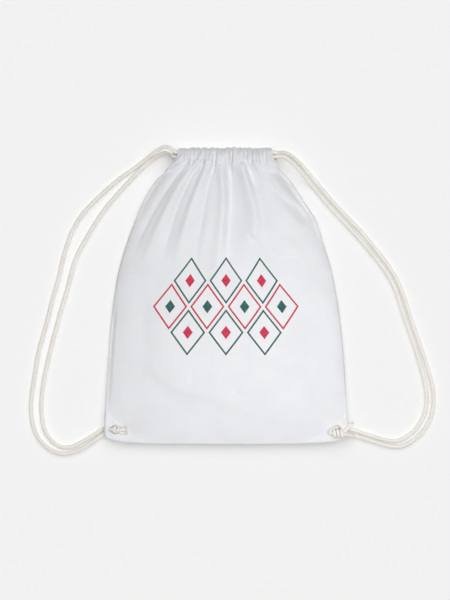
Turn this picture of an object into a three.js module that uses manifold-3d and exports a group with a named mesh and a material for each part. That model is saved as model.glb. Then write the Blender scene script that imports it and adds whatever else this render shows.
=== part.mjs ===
// Drawstring bag lying on its back. Millimetres.
// X runs across the bag, +Y from the bottom seam to the mouth, +Z out of the front panel.
// The back panel lies on z = 0; the origin is the middle of the bag's own footprint.
import * as THREE from "three";
import Module from "manifold-3d";

const wasm = await Module();
wasm.setup();
const { Manifold, Mesh } = wasm;

// ---------------------------------------------------------------- sizes
const WALL = 1.5;            // cloth wall
const SEAM_GAP = 0.4;        // between the two panels along their seam
const CORD_D = 5.5;           // cord across
const CORD_R = CORD_D / 2;
const CORD_CLEAR = 0.8;      // round a cord in its channel
const FLOOR_GAP = 0.3;       // under a cord lying on the floor
const TOP = 426;             // bottom seam to mouth edge
const STITCH = TOP - 26;     // stitch line under the channel
const SEAM_END = STITCH - 14; // the side seam stops here, the channels part above
const MID = TOP / 2;         // Y = up - MID
const HEM_BEND = 4.8;        // rise of the turned-over top edge
const TOP_RUFFLE = 1.6;      // how far the mouth edge dips between gathers
const PLEATS = 9;            // gathers across the channel
const FRONT_RUFFLE = 3.4;
const BACK_RUFFLE = 2.0;
const HEM_RUFFLE = 1.2;

const BACK_CORD_Z = BACK_RUFFLE + WALL + 0.5 + CORD_R;
const BACK_HEM_Z = BACK_CORD_Z + CORD_R + CORD_CLEAR;      // channel side of the back hem
const MOUTH = 13.0;                                        // open slit at the mouth
const FRONT_HEM_Z = BACK_HEM_Z + WALL + MOUTH + WALL;      // channel side of the front hem
const FRONT_CORD_Z = FRONT_HEM_Z + CORD_CLEAR + CORD_R;
const FRONT_TOP_Z = FRONT_CORD_Z + CORD_R + CORD_CLEAR + WALL;
const CORD_UP_HIGH = TOP - TOP_RUFFLE - HEM_BEND - 0.3;          // upper strand in a channel
const CORD_UP_LOW = CORD_UP_HIGH - CORD_D - 1.1;           // lower strand

const HOLE_R = 7.2;          // hole for the cord in a bottom corner
const HOLE_IN = 16;          // its middle, in from the side edge
const HOLE_UP = 17.5;        // and up from the bottom edge
const PATCH_T = 1.2;
const PATCH_GAP = 1.15;
const PATCH_ALONG = 56;      // leg along the bottom
const PATCH_UP = 42;         // leg along the side
const PATCH_INSET = 1.5;

// ---------------------------------------------------------------- tables
// one row a level: distance up from the bottom seam, half widths, highest point, height of the seam
const LEVELS = [
  { up: 0,   left: 174.2, right: 174.2, crown: 11.2, seam: 9.0 },
  { up: 8,   left: 175.2, right: 175.2, crown: 21.0, seam: 9.0 },
  { up: 20,  left: 175.7, right: 175.7, crown: 29.0, seam: 9.3 },
  { up: 40,  left: 174.9, right: 174.9, crown: 36.5, seam: 10.4 },
  { up: 63,  left: 173.5, right: 173.5, crown: 41.0, seam: 11.8 },
  { up: 120, left: 169.9, right: 170.6, crown: 46.0, seam: 13.6 },
  { up: 178, left: 165.6, right: 164.9, crown: 47.0, seam: 14.6 },
  { up: 236, left: 157.7, right: 155.5, crown: 46.0, seam: 15.2 },
  { up: 264, left: 151.2, right: 148.6, crown: 45.2, seam: 15.4 },
  { up: 293, left: 142.0, right: 139.0, crown: 44.2, seam: 15.6 },
  { up: 322, left: 131.6, right: 126.7, crown: 42.8, seam: 15.8 },
  { up: 351, left: 116.6, right: 110.2, crown: 40.6, seam: 16.0 },
  { up: 380, left: 97.6,  right: 91.0,  crown: 37.2, seam: 16.4 },
  { up: 394, left: 85.4,  right: 81.0,  crown: 35.0, seam: 16.6 },
  { up: 402, left: 77.0,  right: 76.0,  crown: 33.4, seam: 16.8 },
  { up: 411, left: 70.2,  right: 72.4,  crown: FRONT_TOP_Z, seam: 16.8 },
  { up: 426, left: 66.6,  right: 70.8,  crown: FRONT_TOP_Z, seam: 16.8 },
];

// one row a crease of the front panel: its two ends, its depth at each end, its width
// (depth below zero is a ridge)
const CREASES = [
  { x0: -54, up0: 402, x1: -106, up1: 306, x2: -132, up2: 264, depth: 4.6, wide: 7.5 },
  { x0: -33, up0: 404, x1: -64,  up1: 320, x2: -86,  up2: 280, depth: 3.2, wide: 8.5 },
  { x0: -17, up0: 404, x1: -24,  up1: 320, x2: -29,  up2: 270, depth: 2.4, wide: 9.0 },
  { x0: 2,   up0: 406, x1: 10,   up1: 340, x2: 9,    up2: 262, depth: 3.6, wide: 8.0 },
  { x0: -4,  up0: 398, x1: -4,   up1: 340, x2: -6,   up2: 285, depth: -2.2, wide: 7.0 },
  { x0: 33,  up0: 402, x1: 42,   up1: 376, x2: 52,   up2: 345, depth: 3.4, wide: 7.0 },
  { x0: 56,  up0: 394, x1: 84,   up1: 350, x2: 114,  up2: 331, depth: 4.4, wide: 7.0 },
  { x0: 54,  up0: 318, x1: 78,   up1: 309, x2: 104,  up2: 306, depth: 3.0, wide: 9.0 },
  { x0: 34,  up0: 298, x1: 62,   up1: 272, x2: 100,  up2: 268, depth: 2.2, wide: 8.0 },
  { x0: -112, up0: 128, x1: -62, up1: 76,  x2: 66,   up2: 40,  depth: 2.4, wide: 13.0 },
  { x0: -52, up0: 132, x1: -54,  up1: 112, x2: -52,  up2: 88,  depth: 2.0, wide: 8.0 },
  { x0: 28,  up0: 130, x1: 31,   up1: 118, x2: 30,   up2: 104, depth: 1.6, wide: 8.0 },
];

// free strands as they lie, from the channel's end to the bottom corner
const STRANDS = {
  left_outer: [
    { x: -78, up: 420.6 }, { x: -85, up: 424 }, { x: -92, up: 425 }, { x: -102, up: 420 },
    { x: -112, up: 412 }, { x: -132, up: 398 }, { x: -153, up: 383 }, { x: -171, up: 368 },
    { x: -190, up: 350 }, { x: -209, up: 329 }, { x: -222, up: 307 }, { x: -230, up: 286 },
    { x: -236, up: 265 }, { x: -242, up: 239 }, { x: -250, up: 211 }, { x: -259, up: 175 },
    { x: -270, up: 136 }, { x: -277, up: 96 }, { x: -282, up: 57 }, { x: -279, up: 26 },
    { x: -270, up: 6 }, { x: -256, up: -8 }, { x: -239, up: -15 }, { x: -222, up: -13 },
    { x: -204, up: -5.5 }, { x: -190, up: 4 }, { x: -179, up: 12 },
  ],
  left_inner: [
    { x: -80, up: 413.4 }, { x: -90, up: 414.4 }, { x: -99, up: 412 }, { x: -109, up: 406 },
    { x: -121, up: 396 }, { x: -132, up: 386 }, { x: -144, up: 374 }, { x: -157, up: 360 },
    { x: -170, up: 345 }, { x: -184, up: 326 }, { x: -195, up: 308 }, { x: -205, up: 291 },
    { x: -214, up: 274 }, { x: -221, up: 255 }, { x: -230, up: 221 }, { x: -240, up: 187 },
    { x: -249, up: 154 }, { x: -258, up: 117 }, { x: -265, up: 81 }, { x: -267, up: 50 },
    { x: -263, up: 22 }, { x: -253, up: 5 }, { x: -238, up: -5 }, { x: -223, up: -5 },
    { x: -207, up: 2.5 }, { x: -191, up: 12 }, { x: -179, up: 20 },
  ],
  right_outer: [
    { x: 83, up: 419.2 }, { x: 90, up: 416.6 }, { x: 98, up: 411 }, { x: 109, up: 400 },
    { x: 131, up: 375 }, { x: 153, up: 350 }, { x: 175, up: 327 }, { x: 197, up: 304 },
    { x: 216, up: 281 }, { x: 231, up: 262 }, { x: 244, up: 242 }, { x: 254, up: 220 },
    { x: 267, up: 181 }, { x: 279, up: 146 }, { x: 291, up: 110 }, { x: 299, up: 79 },
    { x: 300, up: 59 }, { x: 296, up: 38 }, { x: 285, up: 18 }, { x: 270, up: 4 },
    { x: 254, up: -4 }, { x: 237, up: -4 }, { x: 219, up: 1 }, { x: 202, up: 6 },
    { x: 188, up: 10.5 }, { x: 178, up: 13.6 },
  ],
  right_inner: [
    { x: 81, up: 411.6 }, { x: 90, up: 405.6 }, { x: 104, up: 393 }, { x: 125, up: 370 },
    { x: 148, up: 344 }, { x: 170, up: 321 }, { x: 192, up: 297 }, { x: 211, up: 275 },
    { x: 225, up: 257 }, { x: 237, up: 239 }, { x: 246, up: 220 }, { x: 259, up: 180 },
    { x: 271, up: 146 }, { x: 282, up: 110 }, { x: 289, up: 79 }, { x: 290, up: 59 },
    { x: 286, up: 40 }, { x: 276, up: 23 }, { x: 263, up: 11 }, { x: 249, up: 4 },
    { x: 234, up: 4 }, { x: 216, up: 9 }, { x: 200, up: 14 }, { x: 188, up: 18 },
    { x: 178, up: 20.8 },
  ],
};

// one row a knot: where the cord comes up, how the knot lies, and its two tails
const KNOTS = {
  left:  { side: -1, turn: 0.35, tails: [{ turn: -0.15, length: 17, lift: 1.5 }, { turn: 0.55, length: 13, lift: 3.0 }] },
  right: { side: 1, turn: 0.2, tails: [{ turn: 0.75, length: 15, lift: 4.0 }, { turn: 3.35, length: 10, lift: 1.0 }] },
};

// ---------------------------------------------------------------- helpers
const clamp01 = (v) => Math.min(1, Math.max(0, v));
const smooth = (lo, hi, v) => { const k = clamp01((v - lo) / (hi - lo)); return k * k * (3 - 2 * k); };
const mix = (a, b, k) => a + (b - a) * k;
const bump = (d, wide) => Math.exp(-(d * d) / (wide * wide));

function level(column, up) {
  const rows = LEVELS;
  if (up <= rows[0].up) return rows[0][column];
  if (up >= rows[rows.length - 1].up) return rows[rows.length - 1][column];
  let i = 0;
  while (up > rows[i + 1].up) i++;
  const slope = (j) => {
    const a = rows[Math.max(0, j - 1)], b = rows[Math.min(rows.length - 1, j + 1)];
    return (b[column] - a[column]) / (b.up - a.up);
  };
  const span = rows[i + 1].up - rows[i].up, k = (up - rows[i].up) / span;
  const k2 = k * k, k3 = k2 * k;
  return (2 * k3 - 3 * k2 + 1) * rows[i][column] + (k3 - 2 * k2 + k) * span * slope(i)
    + (3 * k2 - 2 * k3) * rows[i + 1][column] + (k3 - k2) * span * slope(i + 1);
}

const half = (s, up) => level(s < 0 ? "left" : "right", up);
// the bottom edge climbs a little to rounded corners
const rise = (s, up) => (1.4 * s * s + 7.5 * Math.abs(s) ** 12) * (1 - smooth(0, 70, up));
const across = (s, up) => s * half(s, up);
const along = (s, up) => up + rise(s, up) - MID;

// 0 in the pressed-flat bottom corners, 1 elsewhere
function cornerEase(s, up) {
  const dx = (1 - Math.abs(s)) * half(s, up);
  return smooth(26, 68, Math.hypot(dx, up));
}

// how much of a section's height is reached at s
function arch(s, up) {
  const boxy = smooth(300, SEAM_END, up);
  const p = mix(2.5, 6, boxy), q = mix(0.62, 0.55, boxy);
  return Math.max(0, 1 - Math.abs(s) ** p) ** q;
}

function creaseDrop(x, up, s) {
  let drop = 0;
  for (const c of CREASES) {
    let best = 1e9, at = 0;
    const legs = [[c.x0, c.up0, c.x1, c.up1, 0], [c.x1, c.up1, c.x2, c.up2, 1]];
    for (const [ax, ay, bx, by, base] of legs) {
      const dx = bx - ax, dy = by - ay;
      const k = clamp01(((x - ax) * dx + (up - ay) * dy) / (dx * dx + dy * dy));
      const d = Math.hypot(x - ax - k * dx, up - ay - k * dy);
      if (d < best) { best = d; at = base + k; }
    }
    const fade = smooth(0, 0.35, at) * (1 - smooth(1.1, 2, at));
    drop += c.depth * bump(best, c.wide) * fade;
  }
  return drop * smooth(1, 0.9, Math.abs(s));
}

const gathers = (s) => 0.5 + 0.5 * Math.cos(Math.PI * PLEATS * s + 0.6 * Math.sin(2.3 * s + 1));
const gatherFade = (up) => smooth(STITCH - 60, STITCH + 2, up);
const edgeTop = (s) => TOP - TOP_RUFFLE * (1 - gathers(s));

// outer face of the front panel, below the turned-over edge
function frontFace(s, up) {
  const split = smooth(SEAM_END, STITCH + 4, up);
  const edge = mix(level("seam", up) + SEAM_GAP / 2 + WALL, FRONT_TOP_Z, split);
  const crown = Math.max(edge, mix(level("crown", up), FRONT_TOP_Z, smooth(STITCH, STITCH + 12, up)));
  const x = across(s, up);
  const lift = (crown - edge) * arch(s, up) * cornerEase(s, up);
  const puff = FRONT_RUFFLE * gathers(s) * gatherFade(up) * mix(smooth(1, 0.82, Math.abs(s)), 1, split);
  const drop = creaseDrop(x, up, s) * (1 - smooth(STITCH - 8, STITCH + 10, up));
  return new THREE.Vector3(x, along(s, up), edge + Math.max(0, lift + puff - drop));
}

// lower face of the back panel
function backFace(s, up) {
  const split = smooth(SEAM_END, STITCH + 4, up);
  const edge = mix(level("seam", up) - SEAM_GAP / 2 - WALL, 0, split);
  const side = smooth(0.76, 1, Math.abs(s)), foot = 1 - smooth(0, 34, up);
  const curl = 1 - (1 - side) * (1 - foot) * cornerEase(s, up);
  const puff = BACK_RUFFLE * gathers(s) * smooth(STITCH - 40, STITCH + 2, up) * mix(smooth(1, 0.85, Math.abs(s)), 1, split);
  return new THREE.Vector3(across(s, up), along(s, up), edge * curl + puff);
}

function normalOf(face, s, up, outward) {
  const e = 0.012, h = 2.5;
  const a = face(Math.max(-1, s - e), up), b = face(Math.min(1, s + e), up);
  const c = face(s, Math.max(0, up - h)), d = face(s, up + h);
  const n = b.sub(a).cross(d.sub(c)).normalize();
  return n.z * outward < 0 ? n.negate() : n;
}

// ---------------------------------------------------------------- sheet to solid
// rows of { p, q }: p on the outer side of the cloth, q on the inner side
function sheetSolid(rows, flip) {
  const nr = rows.length, nc = rows[0].length;
  const pos = [], idx = [];
  for (const key of ["p", "q"]) for (const row of rows) for (const cell of row) pos.push(cell[key].x, cell[key].y, cell[key].z);
  const P = (r, c) => r * nc + c, Q = (r, c) => nr * nc + r * nc + c;
  const quad = (a, b, c, d) => flip ? idx.push(a, c, b, a, d, c) : idx.push(a, b, c, a, c, d);
  for (let r = 0; r + 1 < nr; r++) for (let c = 0; c + 1 < nc; c++) {
    quad(P(r, c), P(r, c + 1), P(r + 1, c + 1), P(r + 1, c));
    quad(Q(r, c), Q(r + 1, c), Q(r + 1, c + 1), Q(r, c + 1));
  }
  for (let c = 0; c + 1 < nc; c++) {
    quad(P(0, c), Q(0, c), Q(0, c + 1), P(0, c + 1));
    quad(P(nr - 1, c), P(nr - 1, c + 1), Q(nr - 1, c + 1), Q(nr - 1, c));
  }
  for (let r = 0; r + 1 < nr; r++) {
    quad(P(r, 0), P(r + 1, 0), Q(r + 1, 0), Q(r, 0));
    quad(P(r, nc - 1), Q(r, nc - 1), Q(r + 1, nc - 1), P(r + 1, nc - 1));
  }
  const g = new THREE.BufferGeometry();
  g.setAttribute("position", new THREE.Float32BufferAttribute(pos, 3));
  g.setIndex(idx);
  return g;
}

function solidOf(geometry) {
  const g = geometry;
  const pos = g.getAttribute("position");
  const index = g.index ? Uint32Array.from(g.index.array) : Uint32Array.from({ length: pos.count }, (_, i) => i);
  const mesh = new Mesh({ numProp: 3, vertProperties: Float32Array.from(pos.array), triVerts: index });
  mesh.merge();
  return new Manifold(mesh);
}

function geometryOf(solid) {
  const m = solid.getMesh();
  const g = new THREE.BufferGeometry();
  const v = new Float32Array(m.numVert * 3);
  for (let i = 0; i < m.numVert; i++) for (let k = 0; k < 3; k++) v[i * 3 + k] = m.vertProperties[i * m.numProp + k];
  g.setAttribute("position", new THREE.BufferAttribute(v, 3));
  g.setIndex(Array.from(m.triVerts));
  return g;
}

const holeSpot = (side) => {
  const s = side * (1 - HOLE_IN / half(side, HOLE_UP));
  return new THREE.Vector2(across(s, HOLE_UP), along(s, HOLE_UP));
};

function withHoles(geometry, sides) {
  let solid = solidOf(geometry);
  for (const side of sides) {
    const at = holeSpot(side);
    const drill = new THREE.CylinderGeometry(HOLE_R, HOLE_R, 60, 20).rotateX(Math.PI / 2).translate(at.x, at.y, 10);
    solid = solid.subtract(solidOf(drill));
  }
  return geometryOf(solid);
}

// ---------------------------------------------------------------- panels
const columns = (n) => Array.from({ length: n + 1 }, (_, i) => {
  const k = (2 * i) / n - 1;
  return 0.72 * k + 0.28 * Math.sin((Math.PI / 2) * k);
});

const BODY_ROWS = [0, 2.5, 6, 12, 20, 32, 50, 80, 115, 150, 190, 225, 255, 282, 306, 328, 348, 365, 378, 387, 395, 403, 412];
const BEND_STEPS = 4;
const HEM_ROWS = [1, 0.48, 0.24, 0];   // from the bend down to the stitch line

// front: face is the outer face, hem goes down inside; back is the same with z turned over
function panelRows(face, sList, bodyRows, hem) {
  const rows = [];
  const up01 = hem.outward;
  const inset = (s, up) => {
    const p = face(s, up);
    const rim = Math.abs(s) > 0.9999 || up <= 0;
    const n = rim ? new THREE.Vector3(0, 0, up01) : normalOf(face, s, up, up01);
    const q = p.clone().addScaledVector(n, -WALL);
    const split = smooth(SEAM_END, STITCH + 4, up);
    if (split < 1) {
      const seamIn = level("seam", up) + up01 * SEAM_GAP / 2;
      const bound = mix(seamIn, face(s, up).z - up01 * WALL, split);
      q.z = up01 > 0 ? Math.max(q.z, bound) : Math.min(q.z, bound);
    }
    return { p, q };
  };
  for (const up of bodyRows) rows.push(sList.map((s) => {
    if (up > STITCH) {
      const p = face(s, up);
      return { p, q: p.clone().setZ(p.z - up01 * WALL) };
    }
    return inset(s, up);
  }));
  const bendUp = (s) => edgeTop(s) - HEM_BEND;
  const hemZ = (s) => hem.z - up01 * (WALL + HEM_RUFFLE * gathers(s));   // mouth side of the hem
  for (let i = 0; i <= BEND_STEPS; i++) {
    const a = (Math.PI * i) / BEND_STEPS;
    rows.push(sList.map((s) => {
      const zo = face(s, bendUp(s)).z, zi = hemZ(s);
      const zc = (zo + zi) / 2, b = (zo - zi) / 2, y = bendUp(s) - MID, x = across(s, TOP - HEM_BEND);
      return {
        p: new THREE.Vector3(x, y + HEM_BEND * Math.sin(a), zc + b * Math.cos(a)),
        q: new THREE.Vector3(x, y + (HEM_BEND - WALL) * Math.sin(a), zc + (b - up01 * WALL) * Math.cos(a)),
      };
    }));
  }
  for (const k of HEM_ROWS.slice(1)) rows.push(sList.map((s) => {
    const up = mix(STITCH + 0.5, bendUp(s), k);
    const inner = face(s, up).z - up01 * (WALL + 0.5);                    // just inside the panel
    const flat = hemZ(s) + up01 * WALL;                                  // channel side of the hem
    const zq = mix(flat, inner, 1 - smooth(0, 0.42, k));
    const x = across(s, up);
    return { p: new THREE.Vector3(x, up - MID, zq - up01 * WALL), q: new THREE.Vector3(x, up - MID, zq) };
  }));
  return rows;
}

const frontPanel = withHoles(
  sheetSolid(panelRows(frontFace, columns(44), BODY_ROWS, { outward: 1, z: FRONT_HEM_Z }), false), [-1, 1]);
const backRows = BODY_ROWS.filter((u) => ![2.5, 80, 150, 225, 282, 387].includes(u));
const backPanel = withHoles(
  sheetSolid(panelRows(backFace, columns(34), backRows, { outward: -1, z: BACK_HEM_Z }), true), [-1, 1]);

// ---------------------------------------------------------------- corner patches
function cornerPatch(side) {
  const n = 9, cells = [];
  const at = (i, j, gap) => {
    const inX = PATCH_INSET + (PATCH_ALONG * i) / n, inY = PATCH_INSET + (PATCH_UP * j) / n;
    const s = side * (1 - inX / half(side, inY));
    const p = frontFace(s, inY);
    p.z += gap;
    return p;
  };
  const pos = [], idx = [], id = {};
  const put = (p) => { pos.push(p.x, p.y, p.z); return pos.length / 3 - 1; };
  for (const [tag, gap] of [["b", PATCH_GAP], ["t", PATCH_GAP + PATCH_T]])
    for (let i = 0; i <= n; i++) for (let j = 0; j <= n - i; j++) id[tag + i + "_" + j] = put(at(i, j, gap));
  const tri = (a, b, c) => side < 0 ? idx.push(a, b, c) : idx.push(a, c, b);
  for (let i = 0; i < n; i++) for (let j = 0; j < n - i; j++) {
    const t = (u, v) => id["t" + u + "_" + v], b = (u, v) => id["b" + u + "_" + v];
    tri(t(i, j), t(i + 1, j), t(i, j + 1));
    tri(b(i, j), b(i, j + 1), b(i + 1, j));
    if (i + j + 1 < n) {
      tri(t(i + 1, j), t(i + 1, j + 1), t(i, j + 1));
      tri(b(i + 1, j), b(i, j + 1), b(i + 1, j + 1));
    }
  }
  const wall = (a, b) => { tri(id["b" + a], id["b" + b], id["t" + b]); tri(id["b" + a], id["t" + b], id["t" + a]); };
  for (let i = 0; i < n; i++) {
    wall(i + "_0", (i + 1) + "_0");
    wall((n - i) + "_" + i, (n - i - 1) + "_" + (i + 1));
    wall("0_" + (n - i), "0_" + (n - i - 1));
  }
  const g = new THREE.BufferGeometry();
  g.setAttribute("position", new THREE.Float32BufferAttribute(pos, 3));
  g.setIndex(idx);
  return withHoles(g, [side]);
}

// ---------------------------------------------------------------- cords
// a smooth path whose steps are short in bends and long on straight runs
class CordPath extends THREE.Curve {
  constructor(points, longStep, turnStep) {
    super();
    const base = new THREE.CatmullRomCurve3(points, false, "centripetal");
    base.arcLengthDivisions = 4000;
    const total = base.getLength(), fine = 3000;
    this.stops = [base.getPointAt(0)];
    let last = base.getTangentAt(0), run = 0, turned = 0;
    for (let i = 1; i <= fine; i++) {
      const t = base.getTangentAt(i / fine);
      run += total / fine;
      turned += t.angleTo(last);
      last = t;
      if (i === fine || turned > turnStep || run > longStep) {
        this.stops.push(base.getPointAt(i / fine));
        run = 0; turned = 0;
      }
    }
    for (const p of this.stops) p.z = Math.max(p.z, LIE);   // a strand never dips below where it lies
    this.length = total;
  }
  get steps() { return this.stops.length - 1; }
  getPoint(t) {
    const k = Math.min(this.steps - 1, Math.floor(t * this.steps + 1e-9)), f = t * this.steps - k;
    return this.stops[k].clone().lerp(this.stops[k + 1], f);
  }
  getPointAt(u) { return this.getPoint(u); }
  getTangent(t) {
    const k = Math.round(t * this.steps);
    const a = this.stops[Math.max(0, k - 1)], b = this.stops[Math.min(this.steps, k + 1)];
    return b.clone().sub(a).normalize();
  }
  getTangentAt(u) { return this.getTangent(u); }
}

const LIE = CORD_R + FLOOR_GAP;
const round = new THREE.Shape(Array.from({ length: 8 }, (_, i) =>
  new THREE.Vector2(CORD_R * Math.cos((i * Math.PI) / 4), CORD_R * Math.sin((i * Math.PI) / 4))));

const RISE_R = 11.4;                     // bend of a strand coming up through its hole
const KNOT_FOOT = LIE + RISE_R + 0.9;                  // underside of a knot

// from the channel's end down to the floor, then under the corner and up through the hole
function strand(name, startZ, drop) {
  const side = name.startsWith("left") ? -1 : 1;
  const rows = STRANDS[name], out = [];
  let run = 0;
  rows.forEach((r, i) => {
    if (i) run += Math.hypot(r.x - rows[i - 1].x, r.up - rows[i - 1].up);
    out.push(new THREE.Vector3(r.x, r.up - MID, mix(startZ, LIE, smooth(0, drop, run + 4))));
  });
  const at = holeSpot(side);
  const last = out[out.length - 1];
  const lane = (name.endsWith("outer") ? -1 : 1) * (CORD_R + 0.35);
  const dir = -side, rim = at.x + dir * 1.0;
  for (const a of [0, 0.35, 0.7, 1.05, 1.4, Math.PI / 2]) {
    out.push(new THREE.Vector3(rim - dir * RISE_R * (1 - Math.sin(a)), at.y + lane, LIE + RISE_R * (1 - Math.cos(a))));
  }
  out.push(new THREE.Vector3(rim, at.y + lane, KNOT_FOOT - 0.5));
  return out;
}

// inside the channel, with the U-turn past its far end
function channelRun(side, zStart, upStart, zEnd, upEnd) {
  const end = -side * (level(side < 0 ? "right" : "left", upStart) + 3.2);
  const start = side * level(side < 0 ? "left" : "right", upStart);
  const pts = [];
  for (const k of [-0.035, 0, 0.05, 0.35, 0.7, 0.94, 0.98, 1]) pts.push(new THREE.Vector3(mix(start, end, k), upStart - MID, zStart));
  const zc = (zStart + zEnd) / 2, yc = (upStart + upEnd) / 2 - MID;
  const dz = (zStart - zEnd) / 2, dy = (upStart - upEnd) / 2, r = Math.hypot(dz, dy);
  for (let i = 1; i < 10; i++) {
    const a = (Math.PI * i) / 10;
    pts.push(new THREE.Vector3(end - side * r * Math.sin(a), yc + dy * Math.cos(a), zc + dz * Math.cos(a)));
  }
  for (const k of [1, 0.98, 0.94, 0.7, 0.35, 0.05, 0, -0.035]) pts.push(new THREE.Vector3(mix(start, end, k), upEnd - MID, zEnd));
  return pts;
}

function cord(side) {
  const name = side < 0 ? "left" : "right";
  // left: outer strand from the front channel (upper), inner from the back (lower); right: the other way about
  const outer = side < 0 ? [FRONT_CORD_Z, 70] : [BACK_CORD_Z, 30];
  const inner = side < 0 ? [BACK_CORD_Z, 30] : [FRONT_CORD_Z, 70];
  const a = strand(name + "_outer", ...outer), b = strand(name + "_inner", ...inner);
  const mid = channelRun(side, outer[0], CORD_UP_HIGH, inner[0], CORD_UP_LOW);
  const path = new CordPath([...a.reverse(), ...mid, ...b], 27, 0.42);
  return { path, geometry: new THREE.ExtrudeGeometry(round, { steps: path.steps, bevelEnabled: false, extrudePath: path, curveSegments: 1 }) };
}

// ---------------------------------------------------------------- knots
function knot(side) {
  const row = KNOTS[side < 0 ? "left" : "right"];
  const at = holeSpot(side);
  const lump = new THREE.TorusKnotGeometry(6.2, 3.0, 40, 8, 2, 3);
  lump.rotateZ(row.turn).scale(1.12, 0.92, 1).translate(at.x, at.y, 0);
  lump.computeBoundingBox();
  lump.translate(0, 0, KNOT_FOOT - lump.boundingBox.min.z);
  let solid = solidOf(lump);
  const z = KNOT_FOOT + 5.2;
  for (const t of row.tails) {
    const c = Math.cos(t.turn), s = Math.sin(t.turn);
    const from = new THREE.Vector3(at.x + 7 * c, at.y + 6.2 * s, z);
    const line = new THREE.CatmullRomCurve3([
      from, from.clone().add(new THREE.Vector3(t.length * 0.5 * c, t.length * 0.5 * s, t.lift)),
      from.clone().add(new THREE.Vector3(t.length * c, t.length * s, t.lift * 1.3)),
    ]);
    solid = solid.add(solidOf(new THREE.ExtrudeGeometry(round, { steps: 5, bevelEnabled: false, extrudePath: line, curveSegments: 1 })));
  }
  return geometryOf(solid);
}

// ---------------------------------------------------------------- assembly
const group = new THREE.Group();
group.name = "drawstring_bag";
const add = (name, geometry) => { const m = new THREE.Mesh(geometry); m.name = name; group.add(m); };

add("front_panel", frontPanel);
add("back_panel", backPanel);
add("corner_patch_left", cornerPatch(-1));
add("corner_patch_right", cornerPatch(1));
const cords = { left: cord(-1), right: cord(1) };
add("cord_left", cords.left.geometry);
add("cord_right", cords.right.geometry);
add("knot_left", knot(-1));
add("knot_right", knot(1));

export const CORD_PATHS = { left: cords.left.path, right: cords.right.path };
export default group;
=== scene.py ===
import math
import bpy
import bmesh
import numpy as np
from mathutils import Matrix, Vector


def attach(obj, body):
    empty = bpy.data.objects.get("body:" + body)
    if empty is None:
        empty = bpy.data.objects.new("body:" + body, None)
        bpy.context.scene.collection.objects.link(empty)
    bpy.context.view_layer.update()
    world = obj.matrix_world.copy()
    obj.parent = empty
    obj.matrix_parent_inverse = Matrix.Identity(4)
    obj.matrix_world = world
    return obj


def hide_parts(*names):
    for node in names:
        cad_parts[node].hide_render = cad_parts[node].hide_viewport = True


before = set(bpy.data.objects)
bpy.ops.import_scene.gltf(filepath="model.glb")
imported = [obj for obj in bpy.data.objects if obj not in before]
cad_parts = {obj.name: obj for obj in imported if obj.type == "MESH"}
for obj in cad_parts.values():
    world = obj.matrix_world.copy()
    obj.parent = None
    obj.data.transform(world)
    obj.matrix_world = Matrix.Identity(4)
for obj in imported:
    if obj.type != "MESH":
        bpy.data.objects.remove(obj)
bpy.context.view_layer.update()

MM = 0.001

# ---------------------------------------------------------------- sizes, millimetres, as in the CAD source
WALL, SEAM_GAP = 1.5, 0.4
CORD_D = 5.5
CORD_R = CORD_D / 2
TOP = 426.0
STITCH = TOP - 26
SEAM_END = STITCH - 14
MID = TOP / 2
HEM_BEND = 4.8
MOUTH = 13.0
BACK_CORD_Z = 2.0 + WALL + 0.5 + CORD_R
BACK_HEM_Z = BACK_CORD_Z + CORD_R + 0.8
FRONT_HEM_Z = BACK_HEM_Z + WALL + MOUTH + WALL
FRONT_CORD_Z = FRONT_HEM_Z + 0.8 + CORD_R
FRONT_TOP_Z = FRONT_CORD_Z + CORD_R + 0.8 + WALL
CORD_UP_HIGH = TOP - 3.2 - HEM_BEND - 0.3
CORD_UP_LOW = CORD_UP_HIGH - CORD_D - 1.1
HOLE_R, HOLE_IN, HOLE_UP = 6.4, 16.0, 17.5
PATCH_ALONG, PATCH_UP, PATCH_INSET = 56.0, 42.0, 1.5
LIE = CORD_R + 0.3
RISE_R = 11.4
RISE_END = 0.95                # angle at which a strand passes over to its knot, inside the hole
CLOTH_T = 0.7                 # cloth as shown
FLAT_W, FLAT_S = 352.0, 419.0  # flat cut: seam to seam, bottom seam to stitch line

# level: up, left, right, crown, seam
LEVELS = np.array([
    (0, 174.2, 174.2, 12.6, 12.0), (8, 175.2, 175.2, 15.0, 12.0), (20, 175.7, 175.7, 18.3, 11.8),
    (40, 174.9, 174.9, 22.8, 10.6), (63, 173.5, 173.5, 26.6, 8.6), (120, 169.9, 170.6, 32.2, 5.6),
    (178, 165.6, 164.9, 35.4, 4.4), (236, 157.7, 155.5, 36.8, 4.2), (264, 151.2, 148.6, 37.4, 4.2),
    (293, 142.0, 138.4, 38.0, 4.4), (322, 130.8, 123.0, 38.6, 5.8), (351, 115.2, 103.4, 39.2, 9.0),
    (380, 96.4, 84.0, 39.8, 14.0), (394, 85.4, 77.2, 40.0, 16.4), (402, 78.0, 72.6, 40.0, 16.8),
    (411, 70.6, 67.4, 40.0, 16.8), (426, 68.2, 65.4, 40.0, 16.8),
])
COLUMN = {"left": 1, "right": 2, "crown": 3, "seam": 4}

FOLD_GAIN = 1.25
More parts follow.
